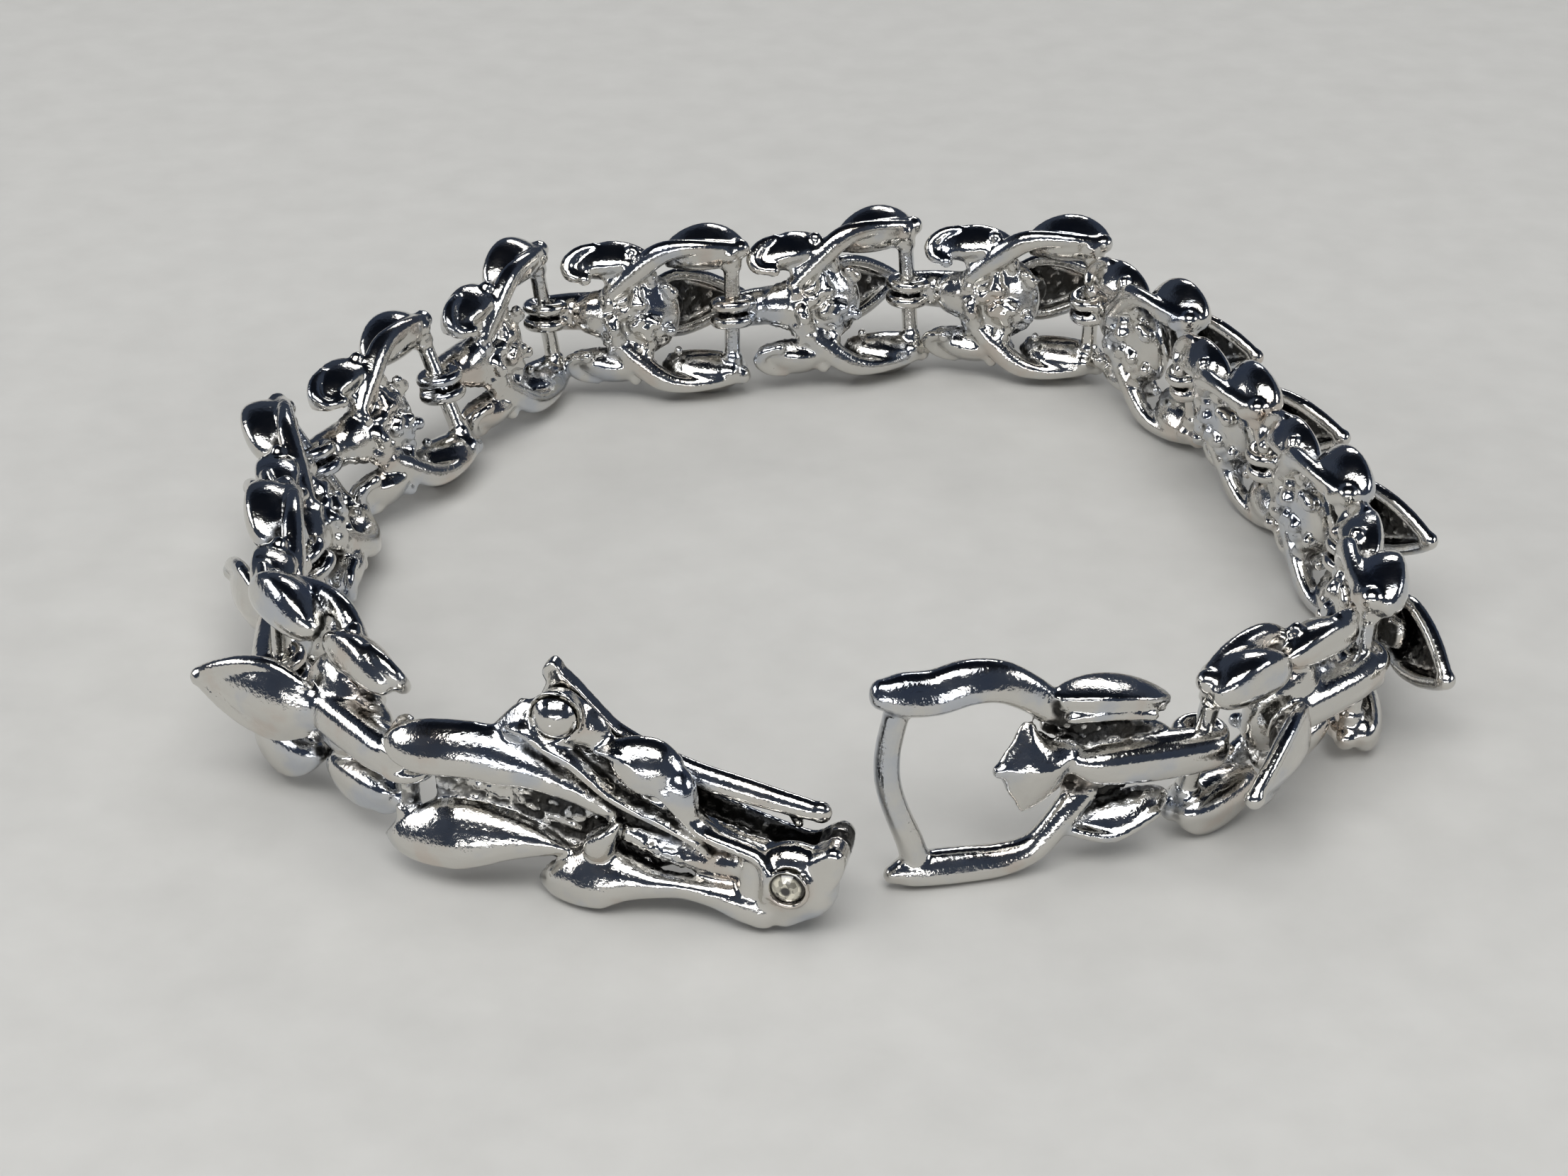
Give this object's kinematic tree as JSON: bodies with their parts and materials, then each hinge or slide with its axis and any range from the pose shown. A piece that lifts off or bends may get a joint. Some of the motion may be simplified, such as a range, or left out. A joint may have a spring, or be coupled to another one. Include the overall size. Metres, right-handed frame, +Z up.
{
  "type": "bracelet",
  "caption": "Open wrist band of hinged cast links with leaf pairs and pointed hoods, ending in a beast's head with a sprung gate and a stirrup loop it hooks into.",
  "frame": {"origin": "centre of the outline seen from above, on the ground the band stands on", "axes": "+Z up, across the band's width; the head and the stirrup lie toward -Y, the back of the loop toward +Y"},
  "size_m": [0.0716, 0.075, 0.0135],
  "materials": {
    "cast_metal": "polished, with blackened recesses",
    "stone": "faceted"
  },
  "bodies": {
    "band": {"dragon_head": "cast_metal", "eye_stone": "stone", "hinge_pin": "cast_metal", "link_01": "cast_metal", "link_02": "cast_metal", "link_03": "cast_metal", "link_04": "cast_metal", "link_05": "cast_metal", "link_06": "cast_metal", "link_07": "cast_metal", "link_08": "cast_metal", "link_09": "cast_metal", "link_10": "cast_metal", "link_11": "cast_metal", "link_12": "cast_metal", "link_13": "cast_metal", "tail_ring": "cast_metal"},
    "lever": {"gate_lever": "cast_metal"}
  },
  "joints": [
    {"name": "gate_hinge", "type": "hinge", "parent": "band", "child": "lever", "pos_m": [-0.01323, -0.03136, 0.01135], "axis": [0.225, 0.9744, 0], "range_deg": [0, 8.5], "stiffness_Nm_per_rad": 0.004, "springref_deg": -17.19}
  ]
}
